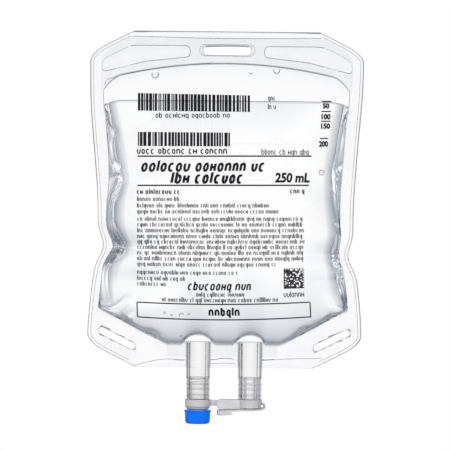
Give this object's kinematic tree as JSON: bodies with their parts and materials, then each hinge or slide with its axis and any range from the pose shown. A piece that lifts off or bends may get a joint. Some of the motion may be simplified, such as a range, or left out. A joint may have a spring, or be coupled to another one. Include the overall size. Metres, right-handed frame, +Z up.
{
  "type": "iv fluid bag",
  "caption": "Flexible clear bag of infusion fluid with a hanger slot in its top weld, a capped spike port and an injection port with a hinged lid.",
  "frame": {"origin": "centre of the hanger slot in the top weld, on the middle plane between the two films", "axes": "+Z up as the bag hangs, +Y away from the reader, +X to the reader's right"},
  "size_m": [0.1308, 0.0322, 0.1874],
  "materials": {
    "clear_film": "clear heat-welded plastic film, glossy",
    "clear_fluid": "clear water-like fluid",
    "clear_tubing": "clear soft tubing, slightly milky",
    "natural_moulding": "uncoloured moulded plastic, satin",
    "septum_rubber": "matt rubber",
    "blue_cap": "blue moulded plastic, satin"
  },
  "bodies": {
    "bag": {"front_film": "clear_film", "back_film": "clear_film", "saline_fill": "clear_fluid", "administration_tube": "clear_tubing", "injection_tube": "clear_tubing", "administration_spout": "natural_moulding", "injection_spout": "natural_moulding", "injection_septum": "septum_rubber", "port_link": "natural_moulding"},
    "cap": {"spike_port_cap": "blue_cap"},
    "lid": {"injection_port_lid": "natural_moulding"}
  },
  "joints": [
    {"name": "cap_pull", "type": "slide", "parent": "bag", "child": "cap", "axis": [0, 0, -1], "range_m": [0, 0.012]},
    {"name": "lid_hinge", "type": "hinge", "parent": "bag", "child": "lid", "pos_m": [0.0186, 0, -0.1697], "axis": [0, -1, 0], "range_deg": [0, 125]}
  ]
}
